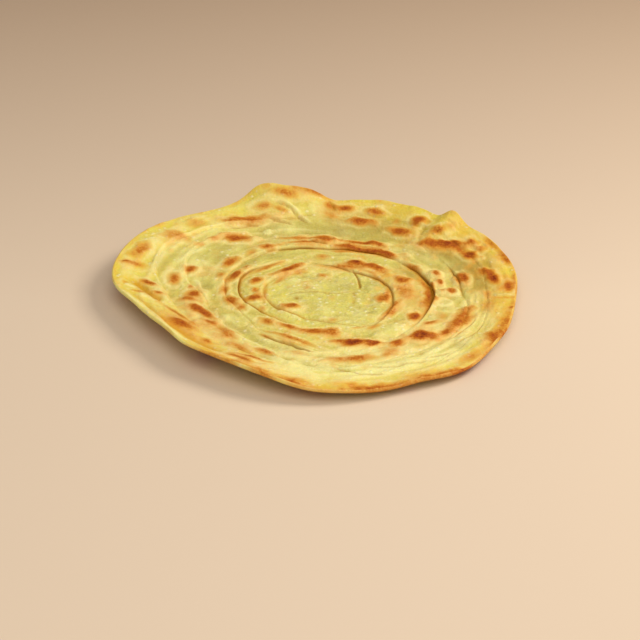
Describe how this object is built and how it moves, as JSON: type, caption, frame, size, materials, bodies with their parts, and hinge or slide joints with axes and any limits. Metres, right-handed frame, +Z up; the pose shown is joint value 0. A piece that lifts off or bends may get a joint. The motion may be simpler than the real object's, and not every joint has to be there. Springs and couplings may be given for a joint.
{
  "type": "paratha flatbread",
  "caption": "Round layered flatbread with a coiled, slit upper face, browned in patches, and an uneven edge that curls up.",
  "frame": {"origin": "on the floor under the middle of the bread's outline", "axes": "+Z up through the bread, +X to the right and +Y away as the shown side is seen, with the tall flap of the edge towards +Y"},
  "size_m": [0.2014, 0.1954, 0.0206],
  "materials": {
    "flatbread_crust": "soft sheen of fried dough, mottled from pale yellow to brown"
  },
  "bodies": {
    "root": {"paratha": "flatbread_crust"}
  },
  "joints": []
}
